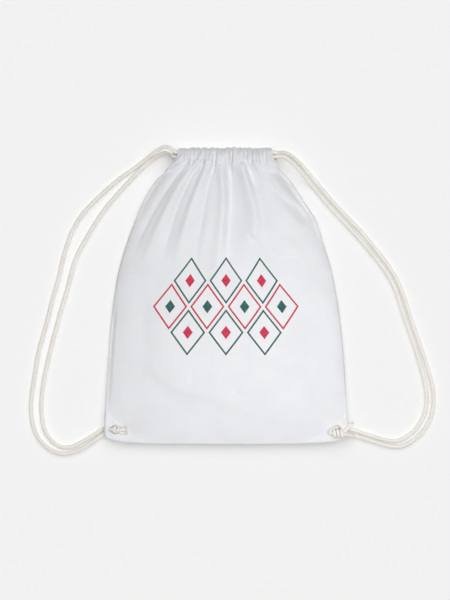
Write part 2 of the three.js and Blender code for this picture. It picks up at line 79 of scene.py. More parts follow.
# folds of the front panel. height (below zero is a valley), width to the left and to the right of the
# line as it runs, share of the line over which it fades in and out, then the line's points (x, up)
FOLDS = [
    (-2.9, 3.6, 8.5, 0.02, 0.50, (-50, 409), (-80, 369), (-108, 325), (-125, 290), (-140, 247)),
    (4.2, 12.0, 5.6, 0.03, 0.55, (-36, 409), (-63, 376), (-93, 321), (-112, 277), (-124, 236)),
    (-4.4, 4.4, 5.4, 0.22, 0.30, (-50, 407), (-66, 400), (-88, 387)),
    (2.4, 6.0, 5.0, 0.30, 0.30, (-62, 407), (-72, 404), (-84, 397)),
    (-4.8, 5.0, 7.5, 0.02, 0.55, (-31, 409), (-50, 382), (-70, 337), (-84, 290), (-94, 253)),
    (5.0, 9.5, 6.0, 0.03, 0.55, (-23, 407), (-38, 372), (-55, 325), (-68, 279), (-76, 239)),
    (-3.6, 6.0, 8.0, 0.05, 0.60, (-19, 398), (-28, 357), (-36, 311), (-42, 270), (-46, 226)),
    (4.4, 7.5, 8.5, 0.05, 0.60, (-8, 402), (-4, 346), (-9, 288), (-16, 236), (-20, 195)),
    (-7.6, 19.0, 7.5, 0.05, 0.60, (4, 400), (6, 353), (3, 306), (3, 265), (6, 216)),
    (6.0, 6.5, 12.0, 0.05, 0.45, (20, 406), (34, 362), (42, 322), (39, 293), (36, 256)),
    (-6.0, 6.5, 4.6, 0.05, 0.50, (28, 408), (37, 381), (48, 356)),
    (3.0, 5.0, 5.0, 0.05, 0.50, (40, 406), (52, 384), (62, 366)),
    (-8.0, 4.6, 17.0, 0.55, 0.03, (44, 399), (67, 369), (89, 348), (103, 340), (122, 331)),
    (6.0, 9.0, 30.0, 0.20, 0.45, (64, 392), (78, 362), (94, 340), (104, 322)),
    (2.7, 30.0, 9.0, 0.30, 0.25, (46, 320), (74, 314), (100, 315), (110, 324)),
    (-0.9, 6.0, 12.0, 0.30, 0.25, (46, 309), (74, 303), (100, 305), (108, 313)),
    (-2.4, 4.0, 6.0, 0.20, 0.45, (30, 303), (42, 289), (58, 274)),
    (1.5, 18.0, 9.0, 0.35, 0.40, (58, 284), (88, 279), (120, 279)),
    (-2.0, 4.5, 6.0, 0.40, 0.40, (70, 271), (90, 267), (112, 268)),
    (2.4, 50.0, 12.0, 0.25, 0.30, (-116, 142), (-96, 104), (-66, 82), (-30, 74), (-8, 70)),
    (2.0, 40.0, 12.0, 0.30, 0.35, (-34, 77), (6, 62), (48, 47), (98, 34)),
    (-1.0, 3.6, 4.2, 0.40, 0.40, (-50, 114), (-48, 97), (-53, 80)),
    (-1.0, 3.6, 4.2, 0.40, 0.40, (10, 80), (22, 70), (36, 68)),
    (-0.9, 4.0, 4.0, 0.40, 0.40, (27, 130), (32, 116), (29, 102)),
    (1.0, 10.0, 9.0, 0.35, 0.35, (-21, 142), (-13, 106), (-18, 74)),
    (-1.8, 16.0, 13.0, 0.35, 0.35, (-112, 225), (-118, 170), (-112, 121)),
    (1.2, 12.0, 12.0, 0.40, 0.40, (70, 190), (84, 140), (80, 100)),
    (-1.0, 14.0, 10.0, 0.40, 0.40, (120, 210), (126, 160), (122, 110)),
]

# creases of the gathered channel: x at the top edge, x at the lower end, up of the lower end, depth
GATHERS = np.array([
    (-64.0, -65.5, 412.0, 3.0), (-60.0, -61.2, 409.0, 4.0), (-56.4, -56.0, 408.0, 6.4), (-52.0, -52.7, 406.0, 7.0),
    (-46.0, -47.8, 404.0, 6.4), (-38.2, -43.9, 408.5, 5.0), (-29.6, -31.7, 404.0, 6.6), (-23.0, -25.2, 412.0, 3.0),
    (-14.6, -17.0, 396.5, 7.4), (-6.6, -7.6, 413.0, 2.6), (2.8, 2.9, 397.0, 6.2), (9.0, 5.6, 393.0, 8.6),
    (15.0, 14.0, 415.0, 3.0), (25.0, 22.6, 405.0, 5.6), (29.5, 28.6, 408.0, 5.0), (34.0, 35.2, 406.0, 5.2),
    (43.4, 46.8, 404.0, 7.2), (49.0, 50.4, 414.0, 3.6), (54.0, 54.6, 407.0, 5.6), (60.5, 61.9, 411.0, 5.0),
    (66.0, 67.5, 411.0, 3.4),
])
# the top edge stands higher or lower here: x, by how much, width
EDGE_BUMPS = [(12.2, 3.8, 4.6), (28.0, 1.8, 2.8), (48.0, 1.6, 3.0), (-26.0, -2.2, 2.6), (-44.0, 1.2, 4.0), (-12.0, -0.8, 3.0), (38.0, -1.2, 3.0)]

STRANDS = {
    "left_outer": [(-77, 421.6), (-82.5, 425.0), (-89, 425.4), (-97, 421.8), (-106, 416.4), (-115, 409.8), (-132, 397.6), (-153, 383), (-171, 368),
                   (-190, 350), (-209, 329), (-222, 307), (-230, 286), (-236, 265), (-242, 239), (-250, 211), (-259, 175),
                   (-270, 136), (-277, 96), (-282, 57), (-279, 26), (-270, 6), (-256, -8), (-239, -15), (-222, -13),
                   (-204, -5.5), (-190, 4), (-179, 12)],
    "left_inner": [(-77, 414.0), (-83, 417.8), (-90, 419.4), (-98, 415.8), (-106.6, 410.2), (-115.2, 402.8), (-123.8, 395.2), (-132, 387.0), (-144, 374.4), (-157, 360),
                   (-170, 345), (-184, 326), (-195, 308), (-205, 291), (-214, 274), (-221, 255), (-230, 221), (-240, 187),
                   (-249, 154), (-258, 117), (-265, 81), (-267, 50), (-263, 22), (-253, 5), (-238, -5), (-223, -5),
                   (-207, 2.5), (-191, 12), (-179, 20)],
    "right_outer": [(83, 419.6), (90, 417.6), (98.4, 412.0), (109.8, 401.2), (131.6, 376), (153, 350.4), (175, 327), (197, 304),
                    (216, 281), (231, 262), (244, 242), (254, 220), (267, 181), (279, 146), (291, 110), (299, 79),
                    (300, 59), (296, 38), (285, 18), (270, 4), (254, -4), (237, -4), (219, 1), (202, 6),
                    (188, 10.5), (178, 13.6)],
    "right_inner": [(81, 412.2), (90, 407.2), (104.8, 394.4), (125.8, 371.2), (148.2, 344.4), (170, 321), (192, 297), (211, 275),
                    (225, 257), (237, 239), (246, 220), (259, 180), (271, 146), (282, 110), (289, 79), (290, 59),
                    (286, 40), (276, 23), (263, 11), (249, 4), (234, 4), (216, 9), (200, 14), (188, 18), (178, 20.8)],
}


# ---------------------------------------------------------------- shape functions
def smooth(lo, hi, v):
    k = np.clip((np.asarray(v, float) - lo) / (hi - lo), 0, 1)
    return k * k * (3 - 2 * k)


def mix(a, b, k):
    return a + (b - a) * k


def level(name, up):
    ups, v = LEVELS[:, 0], LEVELS[:, COLUMN[name]]
    up = np.clip(up, ups[0], ups[-1])
    n = len(ups)
    j = np.arange(n)
    lo, hi = np.maximum(j - 1, 0), np.minimum(j + 1, n - 1)
    slope = (v[hi] - v[lo]) / (ups[hi] - ups[lo])
    i = np.clip(np.searchsorted(ups, up, side="right") - 1, 0, n - 2)
    span = ups[i + 1] - ups[i]
    k = (up - ups[i]) / span
    k2, k3 = k * k, k * k * k
    return ((2 * k3 - 3 * k2 + 1) * v[i] + (k3 - 2 * k2 + k) * span * slope[i]
            + (3 * k2 - 2 * k3) * v[i + 1] + (k3 - k2) * span * slope[i + 1])


def half(s, up):
    return np.where(np.asarray(s) < 0, level("left", up), level("right", up))


def rise(s, up):
    return (2.6 * s * s + 7.5 * np.abs(s) ** 12 - 1.2) * (1 - smooth(0, 70, up))


def across(s, up):
    return s * half(s, up)


def along(s, up):
    return up + rise(s, up) - MID


def corner_ease(s, up):
    dx = (1 - np.abs(s)) * half(s, up)
    k = np.clip((dx / (PATCH_ALONG + 2) + up / (PATCH_UP + 2) - 0.97) / 1.15, 0, 1)
    return 1 - (1 - k) ** 2.0


def arch(s, up):
    boxy = smooth(300, SEAM_END, up)
    p, q = mix(np.where(np.asarray(s) < 0, 1.95, 3.5), 4.4, boxy), mix(0.62, 0.60, boxy)
    return np.maximum(0, 1 - np.abs(s) ** p) ** q


def catmull(points, per=24):
    """Centripetal curve through the points, sampled finely."""
    P = np.asarray(points, float)
    P = np.concatenate([[2 * P[0] - P[1]], P, [2 * P[-1] - P[-2]]])
    out = []
    for i in range(1, len(P) - 2):
        p0, p1, p2, p3 = P[i - 1:i + 3]
        t0 = 0.0
        t1 = t0 + np.linalg.norm(p1 - p0) ** 0.5
        t2 = t1 + np.linalg.norm(p2 - p1) ** 0.5
        t3 = t2 + np.linalg.norm(p3 - p2) ** 0.5
        t = np.linspace(t1, t2, per, endpoint=False)[:, None]
        a1 = (t1 - t) / (t1 - t0) * p0 + (t - t0) / (t1 - t0) * p1
        a2 = (t2 - t) / (t2 - t1) * p1 + (t - t1) / (t2 - t1) * p2
        a3 = (t3 - t) / (t3 - t2) * p2 + (t - t2) / (t3 - t2) * p3
        b1 = (t2 - t) / (t2 - t0) * a1 + (t - t0) / (t2 - t0) * a2
        b2 = (t3 - t) / (t3 - t1) * a2 + (t - t1) / (t3 - t1) * a3
        out.append((t2 - t) / (t2 - t1) * b1 + (t - t1) / (t2 - t1) * b2)
    out.append(P[-2:-1])
    return np.concatenate(out)


def fold_field(x, up):
    """Sum of the folds' heights at each point."""
    h = np.zeros_like(x)
    for height, wide_l, wide_r, f_in, f_out, *line in FOLDS:
        L = catmull(line, 7)
        best, at, turn = np.full_like(x, 1e9), np.zeros_like(x), np.zeros_like(x)
        n = len(L) - 1
        for i in range(n):
            (ax, ay), (bx, by) = L[i], L[i + 1]
            dx, dy = bx - ax, by - ay
            k = np.clip(((x - ax) * dx + (up - ay) * dy) / (dx * dx + dy * dy), 0, 1)
            ex, ey = x - ax - k * dx, up - ay - k * dy
            d = np.hypot(ex, ey)
            near = d < best
            at = np.where(near, (i + k) / n, at)
            turn = np.where(near, dx * ey - dy * ex, turn)
            best = np.minimum(best, d)
        wide = np.where(turn > 0, wide_l, wide_r)
        fade = smooth(0, f_in, at) * (1 - smooth(1 - f_out, 1, at))
        if line[0][1] > 380:
            wide = wide * mix(0.62, 1.30, at)
        q = best / wide
        shape = np.exp(-q * q) if height > 0 else np.exp(0.10 - np.sqrt(0.01 + (1.25 * q) ** 2.6))
        h += FOLD_GAIN * height * shape * fade
    return h


PLEATS = np.random.RandomState(31)
PLEAT_LEAN = PLEATS.uniform(0.62, 1.5, len(GATHERS) + 1)
PLEAT_LOW = PLEATS.uniform(0.0, 1.0, len(GATHERS) + 1) ** 1.6


def gather_drop(x, up):
    """How far the channel's cloth dips below the full roll, with the creases rounded as far as cloth folds."""
    parts = [(-1.5, 1), (-1.0, 2), (-0.5, 3), (0.0, 4), (0.5, 3), (1.0, 2), (1.5, 1)]
    return 1.50 * sum(w * pleat_drop(x + o, up) for o, w in parts) / sum(w for _, w in parts)


def pleat_drop(x, up):
    """Pleats that stand between sharp creases."""
    rows = np.concatenate([[(-76, -84, 404, 1.0)], GATHERS, [(76, 82, 404, 1.0)]])
    top, low, low_up, deep = rows.T
    xc = top + (low - top) * (TOP - up[..., None]) / (TOP - low_up)
    i = np.clip((xc < x[..., None]).sum(-1), 1, len(rows) - 1)
    pick = lambda A, j: np.take_along_axis(np.broadcast_to(A, xc.shape), j[..., None], -1)[..., 0]
    a, b = pick(xc, i - 1), pick(xc, i)
    w = np.clip((x - a) / np.maximum(b - a, 1.2), 0, 1)
    bow = 1 - np.abs(2 * w ** PLEAT_LEAN[i - 1] - 1) ** 2.2
    k = smooth(0.15, 0.85, w)
    start = mix(pick(low_up, i - 1), pick(low_up, i), k)
    d = mix(pick(deep, i - 1), pick(deep, i), k)
    fade = smooth(start - 15, start + 5, up)
    return (d * (1 - bow) + 2.4 * PLEAT_LOW[i - 1] * bow) * fade


def ruffle(x):
    """Fine creases where the cloth is drawn tight round the cord, 0 on a crest and 1 in a crease."""
    return (1 - np.abs(np.sin(np.pi * x / 3.7 + 1.1 * soft_noise(x, 0 * x, 15, 41)))) ** 0.8 * np.clip(0.75 + 0.45 * soft_noise(x, 0 * x, 23, 42), 0.2, 1)


def soft_noise(x, y, size, seed, n=14):
    """Smooth random waves about size across, between about -1 and 1."""
    r = np.random.RandomState(seed)
    out = np.zeros_like(x)
    for _ in range(n):
        a, k, ph = r.uniform(0, 2 * np.pi), 2 * np.pi / (size * r.uniform(0.7, 1.6)), r.uniform(0, 2 * np.pi)
        out += np.sin(k * (x * np.cos(a) + y * np.sin(a)) + ph)
    return out / np.sqrt(n)


CHANNEL_LOW = FRONT_TOP_Z - 0.8      # the cord is under this
ROLL_UP, EDGE_Z = 408.0, 28.4         # the channel is round from here up, and turns under at this height
ROLL_Z = 42.4


def front_height(s, up, top):
    """Height of the front panel's outer face, from the bottom seam to the channel's top edge."""
    x = across(s, up)
    split = smooth(SEAM_END, STITCH + 4, up)
    edge = mix(level("seam", up), CHANNEL_LOW + 1.0, split)
    inside = smooth(1, 0.93, np.abs(s)) * smooth(0, 10, up)
    drop, fold = gather_drop(x, up), fold_field(x, up)
    # body
    crown = np.maximum(edge, level("crown", up))
    lift = (crown - edge) * arch(s, up) * corner_ease(s, up)
    body = edge + np.maximum(-8 * smooth(370, 392, up), lift + (fold - 0.8 * drop * smooth(378, 396, up)) * inside)
    # channel: from a low line that clears the cord to a full roll
    k = np.clip((up - ROLL_UP) / (top - ROLL_UP), 0, 1)
    high = EDGE_Z + (ROLL_Z - EDGE_Z) * (1 - k ** 3.6) - 1.6 * (1 - smooth(STITCH - 2, STITCH + 7, up))
    low = EDGE_Z + (CHANNEL_LOW - EDGE_Z) * np.sqrt(1 - k ** 6)
    ends = smooth(1.02, 0.90, np.abs(s))
    full = 1 - drop / 8.6 - 0.62 * ruffle(x) * smooth(410.5, 417.5, up) + 0.08 * soft_noise(x, up * 0.6, 13, 21) + 0.10 * fold * (1 - smooth(402, 416, up))
    tube = low + (high - low) * ends * np.clip(full, 0, 1.25)
    return mix(body, tube, smooth(STITCH - 8, STITCH + 3, up))


def front_guess(s, up):
    """The front panel from the bottom seam to the stitch line, before it settles."""
    return np.stack([across(s, up), along(s, up), front_height(s, up, TOP - 1.6 + 0 * s)], -1)


# ---------------------------------------------------------------- settling the cloth
def sample(G, s, up):
    """Value of a grid over (up, s) at each point."""
    n, m = G.shape[0] - 1, G.shape[1] - 1
    r, c = np.clip(up / STITCH, 0, 1) * n, (np.clip(s, -1, 1) + 1) / 2 * m
    i, j = np.minimum(r.astype(int), n - 1), np.minimum(c.astype(int), m - 1)
    a, b = r - i, c - j
    if G.ndim == 3:
        a, b = a[..., None], b[..., None]
    return G[i, j] * (1 - a) * (1 - b) + G[i + 1, j] * a * (1 - b) + G[i, j + 1] * (1 - a) * b + G[i + 1, j + 1] * a * b


def settle(X, pin, rest_u, rest_t, ground, steps, weight, under, over):
    """Relaxes a grid of cloth: lengths kept, bending resisted, held at pin, lying on what is in the bag."""
    w = np.where(pin, 0.0, 1.0)
    home, P = X.copy(), X.copy()
    shear = np.sqrt(rest_u[:-1, :] ** 2 + rest_t[:, :-1] ** 2)

    def pull(a, b, wa, wb, rest, ks, kc):
        d = b - a
        L = np.sqrt((d * d).sum(-1)) + 1e-9
        c = L - rest
        m = np.where(c > 0, ks, kc) * c / (L * (wa + wb + 1e-9))
        d *= m[..., None]
        a += wa[..., None] * d
        b -= wb[..., None] * d

    for it in range(steps):
        if it % 5 == 0:
            up = X[..., 1] + MID
            s = X[..., 0] / half(X[..., 0], up)
            up = up - rise(np.clip(s, -1, 1), up)
            s = X[..., 0] / half(X[..., 0], up)
            base = sample(ground, s, up)
        V = (X - P) * 0.88
        P = X.copy()
        V[..., 2] -= weight
        X += V * w[..., None]
        for o in (0, 1):
            pull(X[:, o:-1:2], X[:, o + 1::2], w[:, o:-1:2], w[:, o + 1::2], rest_u[:, o::2], 0.9, 0.35)
            pull(X[o:-1:2, :], X[o + 1::2, :], w[o:-1:2, :], w[o + 1::2, :], rest_t[o::2, :], 0.9, 0.35)
        for o in (0, 1):
            pull(X[o:-1:2, :-1], X[o + 1::2, 1:], w[o:-1:2, :-1], w[o + 1::2, 1:], shear[o::2, :], 0.18, 0.10)
            pull(X[o:-1:2, 1:], X[o + 1::2, :-1], w[o:-1:2, 1:], w[o + 1::2, :-1], shear[o::2, :], 0.18, 0.10)
        lap = np.zeros_like(X)
        lap[1:-1, 1:-1] = (X[:-2, 1:-1] + X[2:, 1:-1] + X[1:-1, :-2] + X[1:-1, 2:]) / 4 - X[1:-1, 1:-1]
        lap2 = np.zeros_like(X)
        lap2[1:-1, 1:-1] = (lap[:-2, 1:-1] + lap[2:, 1:-1] + lap[1:-1, :-2] + lap[1:-1, 2:]) / 4 - lap[1:-1, 1:-1]
        X -= 0.30 * lap2 * w[..., None]
        X[..., 2] = np.where(pin, X[..., 2], np.clip(X[..., 2], base - under, base + over))
        X[pin] = home[pin]
    return X


def finer(X):
    """Twice the grid, by cubic steps."""
    def along0(A):
        pad = np.concatenate([2 * A[:1] - A[1:2], A, 2 * A[-1:] - A[-2:-1]])
        mid = (9 * (pad[1:-2] + pad[2:-1]) - (pad[:-3] + pad[3:])) / 16
        out = np.empty((2 * len(A) - 1,) + A.shape[1:])
        out[::2], out[1::2] = A, mid
        return out
    return along0(along0(X).swapaxes(0, 1)).swapaxes(0, 1)


def grid_st(nt, nu):
    s = np.linspace(-1, 1, nu + 1)[None, :].repeat(nt + 1, 0)
    up = np.linspace(0, STITCH, nt + 1)[:, None].repeat(nu + 1, 1)
    return s, up


def pinned(s, up):
    dx = (1 - np.abs(s)) * half(s, up)
    rim = (np.abs(s) > 0.99999) | (up < 1e-6) | (up > STITCH - 3.2)
    flat = (up < 2.5) | (dx / (PATCH_ALONG + 2) + up / (PATCH_UP + 2) < 0.97)
    lip = (s < 0) & (dx < 5.5) & (up < 190)
    return rim | flat | lip


def lipped(s, up, X):
    """Flat lip along the left side seam, where the seam has rolled to the front."""
    dx = (1 - np.abs(s)) * half(s, up)
    seam = level("seam", up)
    j = (1 - smooth(4.6, 6.6, dx)) * (s < 0) * (1 - smooth(170, 215, up)) * smooth(4, 30, up)
    flat = seam + 0.4 + 0.10 * np.minimum(dx, up)
    X[..., 2] = mix(X[..., 2], flat, j)
    return X


def lengths(X, axis):
    d = np.diff(X, axis=axis)
    return np.sqrt((d * d).sum(-1))


def front_cloth():
    nt, nu = 96, 92
    s, up = grid_st(nt, nu)
    X = lipped(s, up, front_guess(s, up))
    free = smooth(1, 0.8, np.abs(s)) * smooth(0, 60, up) * (1 - smooth(330, 390, up))
    steps = ((300, 260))
    for k in (0, 1):
        if k:
            X = finer(X)
            nt, nu = 2 * nt, 2 * nu
            s, up = grid_st(nt, nu)
            free = smooth(1, 0.8, np.abs(s)) * smooth(0, 60, up) * (1 - smooth(330, 390, up))
        dx = (1 - np.abs(s)) * half(s, up)
        under = 0.1 + 2.1 * smooth(2, 60, up) * smooth(3, 45, dx) * smooth(0.97, 2.2, dx / (PATCH_ALONG + 2) + up / (PATCH_UP + 2))
        exact = lipped(s, up, front_guess(s, up))
        pin = pinned(s, up)
        X[pin] = exact[pin]
        # a little more cloth than the shape needs, so that it creases
        slack = 0.008 * np.clip(0.5 + soft_noise(exact[..., 0], exact[..., 1], 90, 8), 0, 1.4)
        rest_u = lengths(exact, 1) * (1 + slack + 0.045 * smooth(240, 340, up) * (1 - 0.85 * smooth(335, 385, up)))[:, :-1]
        rest_t = lengths(exact, 0) * (1 + slack)[:-1, :]
        X[..., 2] += (0.9 if k == 0 else 0.25) * free * soft_noise(X[..., 0], X[..., 1], 48 if k == 0 else 17, 5 + k)
        X = settle(X, pin, rest_u, rest_t, exact[..., 2], steps[k], 0.010, under, 6.0)
    return s, up, X


# ---------------------------------------------------------------- mesh helpers
def mesh_object(name, verts, faces, uvs=None, smooth_faces=True):
    """verts in millimetres; uvs, if given, are per vertex, in metres."""
    me = bpy.data.meshes.new(name)
    me.from_pydata([tuple(v) for v in np.asarray(verts, float) * MM], [], [tuple(f) for f in faces])
    if uvs is not None:
        layer = me.uv_layers.new(name="cloth")
        loop_v = np.zeros(len(me.loops), np.int32)
        me.loops.foreach_get("vertex_index", loop_v)
        layer.data.foreach_set("uv", np.asarray(uvs, np.float32)[loop_v].ravel())
    me.polygons.foreach_set("use_smooth", np.full(len(me.polygons), smooth_faces))
    me.update()
    ob = bpy.data.objects.new(name, me)
    bpy.context.scene.collection.objects.link(ob)
    return ob


def grid_faces(nr, nc, flip=False, base=0):
    r, c = np.meshgrid(np.arange(nr - 1), np.arange(nc - 1), indexing="ij")
    a = base + (r * nc + c).ravel()
    f = np.stack([a, a + 1, a + nc + 1, a + nc], 1)
    return f[:, ::-1] if flip else f


def locate(x, y):
    """Place on the panel, s and up, of a point in the plane."""
    up = y + MID
    s = x / half(x, up)
    for _ in range(3):
        up = y + MID - rise(np.clip(s, -1, 1), up)
        s = x / half(x, up)
    return s, up


def with_hole(rows_xyz, faces, centres, radius, height):
    """Drops faces inside each circle and draws the rim that is left onto it, at the cloth's height."""
    V = rows_xyz.reshape(-1, 3).copy()
    for cx, cy in centres:
        mid = V[faces].mean(1)
        keep = np.hypot(mid[:, 0] - cx, mid[:, 1] - cy) > radius
        gone, faces = faces[~keep], faces[keep]
        rim = np.intersect1d(np.unique(gone), np.unique(faces))
        d = V[rim, :2] - (cx, cy)
        V[rim, :2] = (cx, cy) + d / np.linalg.norm(d, axis=1)[:, None] * radius
        V[rim, 2] = height(*locate(V[rim, 0], V[rim, 1]))
    return V, faces


def solidify(ob, thick, offset=-1.0):
    m = ob.modifiers.new("thickness", "SOLIDIFY")
    m.thickness = thick * MM
    m.offset = offset
    m.use_even_offset = False
    return m


def hole_spot(side):
    s = side * (1 - HOLE_IN / float(half(side, HOLE_UP)))
    return float(across(s, HOLE_UP)), float(along(s, HOLE_UP))


HOLES = [hole_spot(-1), hole_spot(1)]


# ---------------------------------------------------------------- materials
class Nodes:
    """A short way to write shader nodes."""

    def __init__(self, name):
        self.mat = bpy.data.materials.new(name)
        self.mat.use_nodes = True
        self.t = self.mat.node_tree
        self.bsdf = self.t.nodes["Principled BSDF"]

    def node(self, kind, **sets):
        n = self.t.nodes.new(kind)
        for k, v in sets.items():
            setattr(n, k, v)
        return n

    def put(self, socket, value):
        if hasattr(value, "is_output"):
            self.t.links.new(value, socket)
        else:
            socket.default_value = value

    def math(self, op, *args, clamp=False):
        n = self.node("ShaderNodeMath", operation=op, use_clamp=clamp)
        for i, a in enumerate(args):
            self.put(n.inputs[i], a)
        return n.outputs[0]

    def ramp(self, value, lo, hi, a=0.0, b=1.0, kind="SMOOTHSTEP"):
        n = self.node("ShaderNodeMapRange", interpolation_type=kind)
        self.put(n.inputs["Value"], value)
        n.inputs["From Min"].default_value, n.inputs["From Max"].default_value = lo, hi
        n.inputs["To Min"].default_value, n.inputs["To Max"].default_value = a, b
        return n.outputs[0]

    def mix(self, fac, a, b):
        n = self.node("ShaderNodeMix", data_type="RGBA")
        self.put(n.inputs[0], fac)
        self.put(n.inputs[6], a)
        self.put(n.inputs[7], b)
        return n.outputs[2]

    def noise(self, vector, scale, detail=3.0, rough=0.55):
        n = self.node("ShaderNodeTexNoise")
        self.put(n.inputs["Vector"], vector)
        n.inputs["Scale"].default_value = scale
        n.inputs["Detail"].default_value = detail
        n.inputs["Roughness"].default_value = rough
        return n.outputs["Fac"]


def uv_xy(N, name="cloth"):
    uv = N.node("ShaderNodeUVMap", uv_map=name)
    sep = N.node("ShaderNodeSeparateXYZ")
    N.t.links.new(uv.outputs[0], sep.inputs[0])
    return uv.outputs[0], sep.outputs[0], sep.outputs[1]


def weave(N, vec, x, y, pitch):
    """Plain weave: rounded yarns, over and under by turns. Height from 0 to 1."""
    k = math.pi / pitch
    warp = N.math("ABSOLUTE", N.math("SINE", N.math("MULTIPLY", x, k)))
    weft = N.math("ABSOLUTE", N.math("SINE", N.math("MULTIPLY", y, k)))
    ch = N.node("ShaderNodeTexChecker")
    N.put(ch.inputs["Vector"], vec)
    ch.inputs["Scale"].default_value = 1 / pitch
    over = ch.outputs["Fac"]
    n = N.node("ShaderNodeMix", data_type="FLOAT")
    N.put(n.inputs[0], over)
    N.put(n.inputs[2], warp)
    N.put(n.inputs[3], weft)
    return n.outputs[0]


def diamonds(N, du, dt):
    """Outline and core of a diamond, from the distances to its middle in metres."""
    m = N.math("ADD", N.math("DIVIDE", N.math("ABSOLUTE", du), 0.025), N.math("DIVIDE", N.math("ABSOLUTE", dt), 0.033))
    ring = N.ramp(N.math("ABSOLUTE", N.math("SUBTRACT", m, 1.0)), 0.058, 0.070, 1.0, 0.0)
    core = N.ramp(m, 0.30, 0.315, 1.0, 0.0)
    return ring, core


def print_marks(N, x, y):
    """A small field of diamonds, three over four over three. Where the ink is, one mask for each colour."""
    step, row, mid = 0.058, 0.039, 0.209
    dy = N.math("SUBTRACT", y, mid)

    def column(v):
        return N.math("SUBTRACT", v, N.math("MULTIPLY", N.math("ROUND", N.math("DIVIDE", v, step)), step))

    width = N.math("ABSOLUTE", x)
    outer = N.math("LESS_THAN", width, 1.5 * step)
    inner = N.math("LESS_THAN", width, 2.0 * step)
    a_ring, a_core = diamonds(N, column(x), N.math("SUBTRACT", N.math("ABSOLUTE", dy), row))
    b_ring, b_core = diamonds(N, column(N.math("SUBTRACT", x, step / 2)), dy)
    one = N.math("MAXIMUM", N.math("MULTIPLY", a_ring, outer), N.math("MULTIPLY", b_core, inner))
    two = N.math("MAXIMUM", N.math("MULTIPLY", b_ring, inner), N.math("MULTIPLY", a_core, outer))
    return one, two


def cloth_material(name, printed, dark=(0.80, 0.805, 0.83, 1), light=(0.83, 0.836, 0.858, 1), gap_shade=(0.74, 0.746, 0.775, 1)):
    N = Nodes(name)
    vec, x, y = uv_xy(N)
    h = weave(N, vec, x, y, 0.0007)
    slub = N.noise(vec, 900, 2)
    tone = N.noise(vec, 22, 3)
    deep = N.ramp(h, 0.0, 0.5, 1.0, 0.0)
    colour = N.mix(N.ramp(tone, 0.3, 0.7), dark, light)
    # painted shade: the weave's hollows between the yarns are painted darker, towards the third colour
    colour = N.mix(N.math("MULTIPLY", deep, 0.35), colour, gap_shade)
    if printed:
        one, two = print_marks(N, x, y)
        cover = N.math("SUBTRACT", N.ramp(N.noise(vec, 340, 3), 0.25, 0.6, 0.90, 1.0), N.math("MULTIPLY", deep, 0.10))
        colour = N.mix(N.math("MULTIPLY", one, cover), colour, (0.010, 0.098, 0.085, 1))
        colour = N.mix(N.math("MULTIPLY", two, cover), colour, (0.590, 0.014, 0.062, 1))
    N.put(N.bsdf.inputs["Base Color"], colour)
    N.bsdf.inputs["Roughness"].default_value = 0.92
    N.bsdf.inputs["Specular IOR Level"].default_value = 0.25
    N.bsdf.inputs["Sheen Weight"].default_value = 0.08
    N.bsdf.inputs["Sheen Roughness"].default_value = 0.5
    face = N.node("ShaderNodeSeparateXYZ")
    N.put(face.inputs[0], N.node("ShaderNodeNewGeometry").outputs["Normal"])
    b = N.node("ShaderNodeBump")
    N.put(b.inputs["Strength"], N.ramp(N.math("ABSOLUTE", face.outputs[2]), 0.30, 0.85, 0.06, 0.35))
    b.inputs["Distance"].default_value = 0.00018
    N.put(b.inputs["Height"], N.math("ADD", h, N.math("MULTIPLY", slub, 0.6)))
    N.put(N.bsdf.inputs["Normal"], b.outputs[0])
    return N.mat


def cord_material(name, braid):
    """Raw cotton. Braided: eight yarns crossing at a slant, over and under."""
    N = Nodes(name)
    co = N.node("ShaderNodeTexCoord").outputs["Object"]
    fibre = N.noise(co, 420, 4)
    c = N.mix(N.ramp(N.noise(co, 60, 3), 0.3, 0.7), (0.90, 0.866, 0.80, 1), (0.945, 0.915, 0.86, 1))
    c = N.mix(N.ramp(fibre, 0.35, 0.75, 0.0, 0.45), c, (0.955, 0.93, 0.885, 1))
    height = fibre
    if braid:
        vec, around, length = uv_xy(N)
        p, q = N.math("ADD", around, length), N.math("SUBTRACT", around, length)
        both = N.node("ShaderNodeCombineXYZ")
        N.put(both.inputs[0], p)
        N.put(both.inputs[1], q)
        h = weave(N, both.outputs[0], p, q, 1.0)
        # painted shade: the braid's hollows between the yarns are painted darker
        c = N.mix(N.ramp(h, 0.0, 0.5, 0.45, 0.0), c, (0.77, 0.727, 0.655, 1))
        height = N.math("ADD", h, N.math("MULTIPLY", fibre, 0.35))
    N.put(N.bsdf.inputs["Base Color"], c)
    N.bsdf.inputs["Roughness"].default_value = 0.88
    N.bsdf.inputs["Specular IOR Level"].default_value = 0.2
    N.bsdf.inputs["Sheen Weight"].default_value = 0.1
    bump = N.node("ShaderNodeBump")
    bump.inputs["Strength"].default_value = 0.55
    bump.inputs["Distance"].default_value = 0.0005 if braid else 0.0002
    N.put(bump.inputs["Height"], height)
    N.put(N.bsdf.inputs["Normal"], bump.outputs[0])
    return N.mat


def thread_material(name):
    N = Nodes(name)
    co = N.node("ShaderNodeTexCoord").outputs["Object"]
    a = N.noise(co, 2600, 3)
    N.put(N.bsdf.inputs["Base Color"], N.mix(N.ramp(a, 0.3, 0.7), (0.77, 0.775, 0.79, 1), (0.87, 0.873, 0.885, 1)))
    N.bsdf.inputs["Roughness"].default_value = 0.7
    bump = N.node("ShaderNodeBump")
    bump.inputs["Strength"].default_value = 0.4
    bump.inputs["Distance"].default_value = 0.0001
    N.put(bump.inputs["Height"], a)
    N.put(N.bsdf.inputs["Normal"], bump.outputs[0])
    return N.mat


# the third colour of each cloth is painted shade for the weave's hollows between the yarns
CLOTH_FRONT = cloth_material("cloth_front", True)
CLOTH_BACK = cloth_material("cloth_back", False)
PATCH_CLOTH = cloth_material("patch_cloth", False, (0.835, 0.84, 0.862, 1), (0.862, 0.867, 0.887, 1), (0.775, 0.781, 0.808, 1))
CORD_COTTON = cord_material("cord_cotton", True)
CORD_FRAY = cord_material("cord_fray", False)
THREAD = thread_material("thread")


